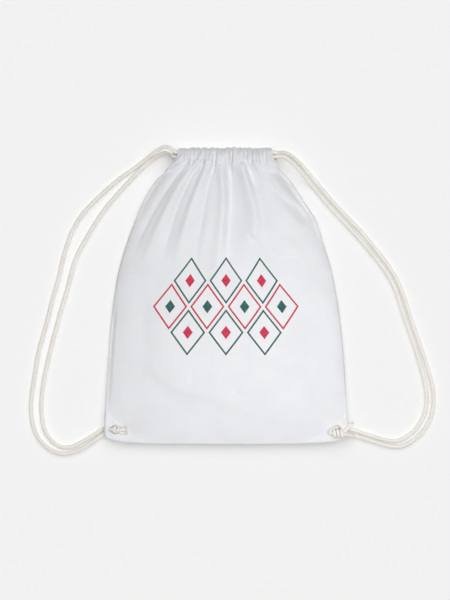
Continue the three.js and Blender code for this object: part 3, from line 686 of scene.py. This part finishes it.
# ---------------------------------------------------------------- camera, light, floor
def stage():
    sc = bpy.context.scene
    sc.view_settings.view_transform = "Standard"
    px = 1.44
    cx, cy, far, plane = (225 - 226) * px, (443.7 - 300) * px - MID, 2300.0, 11.0
    cam = bpy.data.cameras.new("camera")
    cam.sensor_fit = "VERTICAL"
    cam.sensor_height = 36
    cam.lens = 36 * far / (600 * px)
    cam.clip_end = 50
    ob = bpy.data.objects.new("camera", cam)
    ob.location = Vector((cx, cy, plane + far)) * MM
    sc.collection.objects.link(ob)
    sc.camera = ob

    w = bpy.data.worlds.new("studio")
    sc.world = w
    w.use_nodes = True
    bg = w.node_tree.nodes["Background"]
    bg.inputs["Color"].default_value = (1, 1, 1, 1)
    bg.inputs["Strength"].default_value = 0.24
    # the floor has its own wide light, the bag has another from above, a weak one from each side
    # and a soft box over its middle
    lamps = []
    for name, kind, at, to, wide, power in (
            ("floor_light", "SUN", (0.06, 0.44, 1.0), (0, 0, 0), math.radians(80), 1.85),
            ("overhead", "SUN", (0.08, 0.06, 1.0), (0, 0, 0), math.radians(50), 1.63),
            ("side_left", "SUN", (-1.0, 0.0, 0.22), (0, 0, 0), math.radians(30), 0.16),
            ("side_right", "SUN", (1.0, 0.0, 0.22), (0, 0, 0), math.radians(30), 0.21),
            ("key", "AREA", (0.10, -0.11, 0.45), (0.06, -0.07, 0.03), 0.30, 0.62)):
        lamp = bpy.data.lights.new(name, kind)
        lamp.energy = power
        if kind == "SUN":
            lamp.angle = wide
        else:
            lamp.size = wide
        lo = bpy.data.objects.new(name, lamp)
        lo.location = at
        lo.rotation_euler = (Vector(to) - Vector(at)).to_track_quat("-Z", "Y").to_euler()
        sc.collection.objects.link(lo)
        lamps.append(lo)

    me = bpy.data.meshes.new("floor")
    z = -0.0002
    me.from_pydata([(-6, -6, z), (6, -6, z), (6, 6, z), (-6, 6, z)], [], [(0, 1, 2, 3)])
    fl = bpy.data.objects.new("floor", me)
    sc.collection.objects.link(fl)
    N = Nodes("floor")
    N.bsdf.inputs["Base Color"].default_value = (0.95, 0.95, 0.95, 1)
    N.bsdf.inputs["Emission Color"].default_value = (1, 1, 1, 1)
    N.bsdf.inputs["Emission Strength"].default_value = 0.145
    N.bsdf.inputs["Roughness"].default_value = 1.0
    N.bsdf.inputs["Specular IOR Level"].default_value = 0.0
    me.materials.append(N.mat)
    for name, state, lit in (("floor_alone", "INCLUDE", lamps[:1]), ("all_but_floor", "EXCLUDE", lamps[1:])):
        who = bpy.data.collections.new(name)
        who.objects.link(fl)
        who.collection_objects[0].light_linking.link_state = state
        for lo in lit:
            lo.light_linking.receiver_collection = who


stage()


# ---------------------------------------------------------------- cords
def even(line, step):
    d = np.concatenate([[0], np.cumsum(np.linalg.norm(np.diff(line, axis=0), axis=1))])
    n = max(2, int(round(d[-1] / step)))
    at = np.linspace(0, d[-1], n + 1)
    return np.stack([np.interp(at, d, line[:, k]) for k in range(3)], 1), at


def frames(line):
    """Tangent and two side directions that don't twist."""
    T = np.gradient(line, axis=0)
    T /= np.linalg.norm(T, axis=1)[:, None]
    A = np.empty_like(T)
    a = np.cross(T[0], (0.0, 0.0, 1.0))
    if np.linalg.norm(a) < 0.1:
        a = np.cross(T[0], (0.0, 1.0, 0.0))
    A[0] = a / np.linalg.norm(a)
    for i in range(1, len(T)):
        a = A[i - 1] - T[i] * A[i - 1].dot(T[i])
        A[i] = a / np.linalg.norm(a)
    return T, A, np.cross(T, A)


def rope(line, at, radius, sides=20, seed=0):
    """A soft braided cord as one tube along the line. Points, faces, and each face corner's place on the braid."""
    T, A, B = frames(line)
    th = np.linspace(0, 2 * np.pi, sides, endpoint=False)
    wave = 0.030 * np.cos(4 * th[None, :] + at[:, None] * 0.87 + seed) + 0.030 * np.cos(4 * th[None, :] - at[:, None] * 0.87)
    r = np.reshape(radius, (-1, 1)) * (0.985 + wave + 0.020 * np.sin(at[:, None] * 0.31 + 2 * th[None, :] + seed))
    V = line[:, None, :] + r[..., None] * (np.cos(th)[None, :, None] * A[:, None, :] + np.sin(th)[None, :, None] * B[:, None, :])
    n = len(line)
    i, j = (g.ravel() for g in np.meshgrid(np.arange(n - 1), np.arange(sides), indexing="ij"))
    a, b = i * sides + j, i * sides + (j + 1) % sides
    F = np.stack([a, b, b + sides, a + sides], 1)
    # six yarns each way round, each about 3.6 mm along
    around = lambda k: k * 6.0 / sides
    along_it = lambda k: at[k] / 3.6
    uv = np.stack([np.stack([around(jj), along_it(ii)], -1) for ii, jj in ((i, j), (i, j + 1), (i + 1, j + 1), (i + 1, j))], 1)
    return V.reshape(-1, 3), F, n, sides, uv.reshape(-1, 2)


def rope_object(name, ropes, fray=()):
    """One object of one or more tubes with round ends closed, and frayed yarn ends."""
    verts, faces, corner_uv, base = [], [], [], 0
    for V, F, n, sides, uv in ropes:
        faces += [tuple(int(q) + base for q in f) for f in F]
        faces += [tuple(base + k for k in range(sides))[::-1], tuple(base + (n - 1) * sides + k for k in range(sides))]
        corner_uv += [uv, np.zeros((2 * sides, 2))]
        verts.append(V)
        base += len(V)
    cotton = len(faces)
    for V, F in fray:
        faces += [tuple(int(q) + base for q in f) for f in F]
        corner_uv.append(np.zeros((sum(len(f) for f in F), 2)))
        verts.append(V)
        base += len(V)
    ob = mesh_object(name, np.concatenate(verts), faces)
    layer = ob.data.uv_layers.new(name="cloth")
    layer.data.foreach_set("uv", np.concatenate(corner_uv).astype(np.float32).ravel())
    ob.data.materials.append(CORD_COTTON)
    if fray:
        ob.data.materials.append(CORD_FRAY)
        ob.data.polygons.foreach_set("material_index", (np.arange(len(faces)) >= cotton).astype(np.int32))
    return ob


def frayed(end, way, radius, seed, n=34):
    """Short yarns that stand out of a cut end."""
    r = np.random.RandomState(seed)
    way = way / np.linalg.norm(way)
    a = np.cross(way, (0.0, 0.0, 1.0))
    a /= np.linalg.norm(a)
    b = np.cross(way, a)
    out = []
    for _ in range(n):
        ang, rad = r.uniform(0, 2 * np.pi), radius * 0.92 * r.uniform(0.05, 1) ** 0.5
        off = a * math.cos(ang) * rad + b * math.sin(ang) * rad
        lean = off / radius * r.uniform(0.3, 1.6) + a * r.normal(0, 0.25) + b * r.normal(0, 0.2)
        L, w = r.uniform(2.0, 4.4), r.uniform(0.20, 0.34)
        pts = [end - way * 1.2 + off * 0.9, end + off + way * L * 0.35, end + off + way * L * 0.75 + lean * L * 0.22, end + off + way * L + lean * L * 0.42 - (0, 0, 0.3)]
        V = []
        for k, c in enumerate(pts):
            ww = w * (1, 1, 0.9, 0.35)[k]
            V += [c + ww * (a * math.cos(q) + b * math.sin(q)) for q in (0.3, 0.3 + 2 * np.pi / 3, 0.3 + 4 * np.pi / 3)]
        F = [(3 * k + m, 3 * k + (m + 1) % 3, 3 * k + 3 + (m + 1) % 3, 3 * k + 3 + m) for k in range(3) for m in range(3)] + [(2, 1, 0), (9, 10, 11)]
        out.append((np.array(V), F))
    return out


def strand(name, start_z, drop):
    side = -1 if name.startswith("left") else 1
    rows, out, run = STRANDS[name], [], 0.0
    for i, (x, up) in enumerate(rows):
        if i:
            run += math.hypot(x - rows[i - 1][0], up - rows[i - 1][1])
        out.append((x, up - MID, mix(start_z, LIE, float(smooth(0, drop, run + 4)))))
    hx, hy = HOLES[0] if side < 0 else HOLES[1]
    lane = (-1 if name.endswith("outer") else 1) * (CORD_R + 0.35)
    d = -side
    rim = hx + d * 1.0
    for a in (0, 0.25, 0.5, 0.75, RISE_END):
        out.append((rim - d * RISE_R * (1 - math.sin(a)), hy + lane, LIE + RISE_R * (1 - math.cos(a))))
    return out


def channel_run(side, z0, up0, z1, up1):
    far_end = -side * (float(level("right" if side < 0 else "left", up0)) + 1.6)
    start = side * float(level("left" if side < 0 else "right", up0))
    ks = (-0.012, 0, 0.05, 0.35, 0.7, 0.94, 0.98, 1)
    pts = [(mix(start, far_end, k), up0 - MID, z0) for k in ks]
    zc, yc, dz, dy = (z0 + z1) / 2, (up0 + up1) / 2 - MID, (z0 - z1) / 2, (up0 - up1) / 2
    r = math.hypot(dz, dy)
    for i in range(1, 10):
        a = math.pi * i / 10
        pts.append((far_end - side * 0.55 * r * math.sin(a), yc + dy * math.cos(a), zc + dz * math.cos(a)))
    return pts + [(mix(start, far_end, k), up1 - MID, z1) for k in ks[::-1]]


def cord_line(side):
    name = "left" if side < 0 else "right"
    outer = (FRONT_CORD_Z, 70) if side < 0 else (BACK_CORD_Z, 30)
    inner = (BACK_CORD_Z, 30) if side < 0 else (FRONT_CORD_Z, 70)
    a, b = strand(name + "_outer", *outer), strand(name + "_inner", *inner)
    line = catmull(a[::-1] + channel_run(side, outer[0], CORD_UP_HIGH, inner[0], CORD_UP_LOW) + b)
    line[:, 2] = np.maximum(line[:, 2], LIE - 0.2)
    return even(line, 1.0)


def make_cord(side):
    name = "left" if side < 0 else "right"
    line, at = cord_line(side)
    ob = rope_object("cord_" + name + "_braid", [rope(line, at, CORD_R)])
    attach(ob, "root")
    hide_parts("cord_" + name)
    return ob, line, at


# knots. one end, the core, runs through the turns of the other. x and up from the hole, height above the patch.
# axis: from where to where the turns go. turns: how many, and which way round
KNOTS = {
    -1: {"size": 0.84, "axis": [(-2.4, 1.3, 6.6), (2.2, 0.9, 6.8), (6.8, -0.5, 6.5)], "turns": 2.0, "way": -1,
         "core": ([(-3.6, -2.4, 1.2), (-6.3, -1.0, 2.9), (-6.9, 0.7, 5.3), (-4.9, 1.3, 6.5)],
                  [(9.8, -0.6, 5.4), (13.0, 0.9, 3.7), (16.4, 2.8, 3.2)]),
         "turn": ([(0.3, 3.7, -0.4), (-1.2, 3.3, 1.3)],
                  [(8.2, -3.4, 2.5), (10.8, -5.2, 2.4), (14.2, -5.7, 2.4), (17.4, -5.2, 2.7)])},
    1: {"size": 1.0, "axis": [(-6.4, -4.6, 7.0), (1.0, -4.9, 7.3), (8.2, -5.5, 6.9)], "turns": 3.0, "way": 1,
        "core": ([(-4.8, 1.8, 1.9), (-8.6, -0.2, 3.6), (-10.5, -2.8, 5.4), (-9.3, -4.4, 6.8)],
                 [(11.4, -6.4, 5.8), (14.8, -7.6, 3.2), (18.4, -8.6, -0.2), (21.8, -9.0, -2.8)]),
        "turn": ([(-2.6, -4.8, 0.6), (-5.2, -7.2, 2.2)],
                 [(9.6, -3.0, 3.0), (12.4, -0.4, 3.4), (15.2, 2.6, 3.0), (18.0, 5.5, 2.1), (20.6, 8.2, 1.3)])},
}
PATCH_Z = 12.9       # top of the corner patch at the hole
KNOT_R = 2.3


def make_knot(side):
    """The two ends of a cord tied together in front of the corner, with frayed tails."""
    name = "left" if side < 0 else "right"
    hx, hy = HOLES[0] if side < 0 else HOLES[1]
    K = KNOTS[side]
    size = K["size"]
    radius = KNOT_R * size
    here = np.array([hx, hy, PATCH_Z])
    foot_x = -side * (1.0 - RISE_R * (1 - math.sin(RISE_END)))
    foot_z = LIE + RISE_R * (1 - math.cos(RISE_END)) - PATCH_Z
    lane = CORD_R + 0.35
    axis = catmull(K["axis"], 24) * size
    T, A, B = frames(axis)
    k = np.linspace(0, 1, len(axis))
    # from the underside of the axis, round it
    ang = -np.pi / 2 + K["way"] * 2 * np.pi * K["turns"] * k
    north = np.array([0.0, 1.0, 0.0]) - T * T[:, 1:2]
    north /= np.linalg.norm(north, axis=1)[:, None]
    out = np.cross(T, north)
    apart = 1.90 * radius
    turns = axis + apart * (np.cos(ang)[:, None] * north + np.sin(ang)[:, None] * out)
    ropes, fray = [], []
    for i, (key, middle) in enumerate((("core", axis[::6]), ("turn", turns[::2]))):
        before, after = K[key]
        y = lane * ((1 if side > 0 else -1) if key == "core" else (-1 if side > 0 else 1))
        foot = [(foot_x, y, foot_z), (foot_x - side * 1.15, y, foot_z + 2.0), (foot_x - side * 1.5, y * 0.98, foot_z + 4.2)]
        pts = [np.array(q, float) for q in foot] + [np.array(q, float) * size for q in before] + list(middle) + [np.array(q, float) * size for q in after]
        line, at = even(catmull(pts, 12), 0.7)
        line = line + here
        line[:, 2] = np.maximum(line[:, 2], LIE)
        thick = radius + (CORD_R - radius) * (1 - smooth(2, 7, at)) + 0.2 * smooth(at[-1] - 9, at[-1] - 3, at)
        ropes.append(rope(line, at, thick, sides=20, seed=i + 1))
        fray += frayed(line[-1], line[-1] - line[-4], radius + 0.2, 7 + i + 2 * side)
    ob = rope_object("knot_" + name + "_tied", ropes, fray)
    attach(ob, "root")
    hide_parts("knot_" + name)
    return ob


for side in (-1, 1):
    cord, line, at = make_cord(side)
    knot = make_knot(side)


# ---------------------------------------------------------------- front panel
def edge_top(x):
    e = TOP - 3.0 - 0.30 * gather_drop(x, np.full_like(x, TOP - 6)) - 1.5 * ruffle(x) + 0.5 * soft_noise(x, 0 * x, 9, 3)
    for at, by, wide in EDGE_BUMPS:
        e = e + by * np.exp(-((x - at) / wide) ** 2)
    return np.maximum(e, CORD_UP_HIGH + CORD_R + 1.2)


def channel_rows(sv, n_up, n_roll, n_under, n_hem):
    """Front: from the stitch line over the top and down inside to the hem's edge. Rows of points."""
    rows, flat, run = [], [], 0.0
    top = edge_top(across(sv, TOP + 0 * sv))
    dip = gather_drop(across(sv, TOP + 0 * sv), np.full_like(sv, TOP - 6))
    hem = FRONT_HEM_Z - WALL - 1.2 + 0.22 * dip

    def add(up, z, step):
        rows.append(np.stack([across(sv, up), up - MID, z], -1))
        flat.append((flat[-1] if flat else 0.0) + step + 0 * sv)

    for i in range(1, n_up + 1):
        up = mix(STITCH, ROLL_UP, i / n_up) + 0 * sv
        add(up, front_height(sv, up, top), (ROLL_UP - STITCH) / n_up)
    for i in range(1, n_roll + 1):
        up = ROLL_UP + (top - ROLL_UP) * (1 - (1 - i / n_roll) ** 1.5)
        add(up, front_height(sv, up, top), 24.0 / n_roll)
    for i in range(1, n_under + 1):
        a = math.pi / 2 * (1 + i / n_under)
        add(top - HEM_BEND + HEM_BEND * math.sin(a), EDGE_Z + (EDGE_Z - hem) * math.cos(a), 7.0 / n_under)
    for i in range(1, n_hem + 1):
        k = 1 - i / n_hem
        up = mix(STITCH + 0.5, top - HEM_BEND, k)
        inner = front_height(sv, up, top) - CLOTH_T - 0.5
        add(up, mix(hem + CLOTH_T, inner, 1 - smooth(0, 0.42, k)) - CLOTH_T, 20.0 / n_hem)
    return rows, flat


S, UP, FRONT = front_cloth()
NT, NU = S.shape[0] - 1, S.shape[1] - 1


def make_front():
    sv = S[0]
    extra, flat = channel_rows(sv, 6, 12, 5, 9)
    rows = np.concatenate([FRONT, np.stack(extra)])
    u = sv * FLAT_W / 2
    t = np.concatenate([np.linspace(0, FLAT_S, NT + 1)[:, None].repeat(NU + 1, 1), FLAT_S + np.stack(flat)])
    uv = np.stack([np.broadcast_to(u, t.shape), t], -1).reshape(-1, 2) * MM
    faces = grid_faces(rows.shape[0], rows.shape[1])
    V, faces = with_hole(rows, faces, HOLES, HOLE_R, lambda s, up: on_front(s, up)[:, 2])
    ob = mesh_object("front_panel_cloth", V, faces, uv)
    ob.data.materials.append(CLOTH_FRONT)
    solidify(ob, CLOTH_T)
    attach(ob, "root")
    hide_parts("front_panel")
    return ob


def back_face(s, up):
    split = smooth(SEAM_END, STITCH + 4, up)
    edge = mix(level("seam", up) - 0.15, 0.05, split)
    side, foot = smooth(0.76, 1, np.abs(s)), 1 - smooth(0, 34, up)
    curl = 1 - (1 - side) * (1 - foot) * corner_ease(s, up)
    x = -across(s, up)
    puff = (2.6 - 0.4 * np.minimum(6.2, gather_drop(x, up))) * smooth(372, STITCH, up) * mix(smooth(1, 0.85, np.abs(s)), 1, split)
    return np.stack([across(s, up), along(s, up), edge * curl + puff + 0.05], -1)


def make_back():
    nt, nu = 150, 130
    s, up = grid_st(nt, nu)
    X = back_face(s, up)
    flatness = smooth(0.2, 3.0, X[..., 2])
    X[..., 2] += flatness * 0.5 * soft_noise(X[..., 0], X[..., 1], 38, 11) * smooth(1, 0.97, np.abs(s)) * smooth(0, 8, up)
    X[..., 2] = np.maximum(X[..., 2], 0.02)
    sv = s[0]
    xe = -across(sv, TOP + 0 * sv)
    dip = np.minimum(6.2, gather_drop(xe, np.full_like(xe, TOP - 6)))
    top = TOP + 1.6 - 0.35 * dip + 0.5 * soft_noise(xe, 0 * xe, 11, 17)
    bend = top - HEM_BEND
    rows, flat = list(X), list(np.linspace(0, FLAT_S, nt + 1)[:, None].repeat(nu + 1, 1))
    n_up, n_bend, n_hem = 11, 8, 8

    def wall(up):
        return 0.1 + 2.6 - 0.4 * dip

    for i in range(1, n_up + 1):
        u = STITCH + (bend - STITCH) * i / n_up
        rows.append(np.stack([across(sv, u), u - MID, wall(u)], -1))
        flat.append(FLAT_S + i / n_up * (bend - STITCH))
    hem = BACK_HEM_Z + WALL + 1.2 - 0.2 * dip
    zo, xb = wall(bend), across(sv, bend)
    for i in range(1, n_bend + 1):
        a = math.pi * i / n_bend
        rows.append(np.stack([xb, bend - MID + HEM_BEND * math.sin(a), (zo + hem) / 2 + (zo - hem) / 2 * math.cos(a)], -1))
        flat.append(FLAT_S + bend - STITCH + 14.0 * i / n_bend)
    for i in range(1, n_hem + 1):
        k = 1 - i / n_hem
        u = mix(STITCH + 0.5, bend, k)
        inner = wall(u) + CLOTH_T + 0.5
        z = mix(hem - CLOTH_T, inner, 1 - smooth(0, 0.42, k)) + CLOTH_T
        rows.append(np.stack([across(sv, u), u - MID, z], -1))
        flat.append(FLAT_S + bend - STITCH + 14.0 + (bend - STITCH) * i / n_hem)
    rows, t = np.stack(rows), np.stack(flat)
    uv = np.stack([np.broadcast_to(sv * FLAT_W / 2, t.shape), t], -1).reshape(-1, 2) * MM
    faces = grid_faces(rows.shape[0], rows.shape[1], flip=True)
    V, faces = with_hole(rows, faces, HOLES, HOLE_R, lambda s, up: np.maximum(back_face(s, up)[:, 2], 0.02))
    ob = mesh_object("back_panel_cloth", V, faces, uv)
    ob.data.materials.append(CLOTH_BACK)
    solidify(ob, CLOTH_T)
    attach(ob, "root")
    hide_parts("back_panel")
    return ob


def on_front(s, up):
    """Point on the settled front panel."""
    return sample(FRONT, s, up)


def front_normal(s, up):
    e = 0.004
    du = on_front(np.clip(s + e, -1, 1), up) - on_front(np.clip(s - e, -1, 1), up)
    dv = on_front(s, np.clip(up + 1.5, 0, STITCH)) - on_front(s, np.clip(up - 1.5, 0, STITCH))
    n = np.cross(du, dv)
    return n / np.linalg.norm(n, axis=-1)[:, None]


PATCH_LIFT = 0.95          # outer face of a patch above the panel


def make_patch(side):
    name = "left" if side < 0 else "right"
    n = 36
    ids, spot = {}, []
    for i in range(n + 1):
        for j in range(n + 1 - i):
            a, b = i / n, j / n
            bow = 1 - 0.10 * 4 * a * b            # the long edge is drawn in a little
            x_in, y_in = PATCH_INSET + PATCH_ALONG * a * bow, PATCH_INSET + PATCH_UP * b * bow
            ids[i, j] = len(spot)
            spot.append((side * (1 - x_in / half(side, y_in)), y_in))
    s, up = np.array(spot, float).T
    pts = on_front(s, up) + PATCH_LIFT * front_normal(s, up)
    uv = pts[:, :2] * MM
    F = []
    for i in range(n):
        for j in range(n - i):
            F.append((ids[i, j], ids[i + 1, j], ids[i, j + 1]))
            if i + j + 1 < n:
                F.append((ids[i + 1, j], ids[i + 1, j + 1], ids[i, j + 1]))
    F = np.array(F)
    if side > 0:
        F = F[:, ::-1]
    V, F = with_hole(pts, F, [HOLES[0] if side < 0 else HOLES[1]], HOLE_R, lambda s, up: on_front(s, up)[:, 2] + PATCH_LIFT)
    ob = mesh_object("patch_" + name, V, F, uv)
    ob.data.materials.append(PATCH_CLOTH)
    solidify(ob, 0.7)
    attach(ob, "root")
    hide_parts("corner_patch_" + name)
    return ob


front = make_front()
back = make_back()
for side in (-1, 1):
    p = make_patch(side)



# ---------------------------------------------------------------- stitches
def stitch_rows(path, normal, pitch, length, radius):
    """Lockstitches along a path on the cloth: short threads that dip in at both ends."""
    d = np.concatenate([[0], np.cumsum(np.linalg.norm(np.diff(path, axis=0), axis=1))])
    verts, faces, base = [], [], 0
    w = np.array([-0.5, -0.36, -0.12, 0.12, 0.36, 0.5])
    lift = np.array([-0.30, 0.10, 0.26, 0.26, 0.10, -0.30])
    wide = np.array([0.55, 0.95, 1.0, 1.0, 0.95, 0.55])
    ring = np.linspace(0, 2 * np.pi, 6, endpoint=False)
    at_path = lambda v, M: np.stack([np.interp(v, d, M[:, k]) for k in range(3)], -1)
    for c in np.arange(pitch, d[-1] - pitch / 2, pitch):
        run = c + w * length
        P, Nn = at_path(run, path), at_path(run, normal)
        Nn /= np.linalg.norm(Nn, axis=1)[:, None]
        T = np.gradient(P, axis=0)
        T /= np.linalg.norm(T, axis=1)[:, None]
        S_ = np.cross(Nn, T)
        C = P + Nn * lift[:, None]
        V = C[:, None, :] + (radius * wide)[:, None, None] * (np.cos(ring)[None, :, None] * S_[:, None, :] + np.sin(ring)[None, :, None] * Nn[:, None, :])
        verts.append(V.reshape(-1, 3))
        for i in range(5):
            for j in range(6):
                a, b = base + i * 6 + j, base + i * 6 + (j + 1) % 6
                faces.append((a, b, b + 6, a + 6))
        faces.append(tuple(base + k for k in range(6))[::-1])
        faces.append(tuple(base + 30 + k for k in range(6)))
        base += 36
    return np.concatenate(verts), faces


def stitched(name, rows):
    verts, faces, base = [], [], 0
    for path, normal in rows:
        V, F = stitch_rows(np.asarray(path), np.asarray(normal), 3.3, 2.6, 0.26)
        verts.append(V)
        faces += [tuple(q + base for q in f) for f in F]
        base += len(V)
    ob = mesh_object(name, np.concatenate(verts), faces)
    ob.data.materials.append(THREAD)
    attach(ob, "root")
    return ob


ss = np.linspace(-0.965, 0.965, 900)
line_up = np.full_like(ss, STITCH - 1.4)
stitched("channel_stitches_front", [(on_front(ss, line_up), front_normal(ss, line_up))])
for side in (-1, 1):
    k = np.linspace(0, 1, 80)[:, None]
    corners = np.array([(4.4, 4.2), (PATCH_ALONG - 7.0, 4.2), (4.4, PATCH_UP - 5.4)])
    rows = []
    for a, b in ((0, 1), (1, 2), (2, 0)):
        run = corners[a] + (corners[b] - corners[a]) * k
        if (a, b) == (1, 2):
            run = run * (1 - 0.055 * 4 * k * (1 - k))
        s = side * (1 - run[:, 0] / half(np.full(len(run), side), run[:, 1]))
        n = front_normal(s, run[:, 1])
        P = on_front(s, run[:, 1]) + n * PATCH_LIFT
        rows.append((P, n))
    stitched("patch_stitches_" + ("left" if side < 0 else "right"), rows)
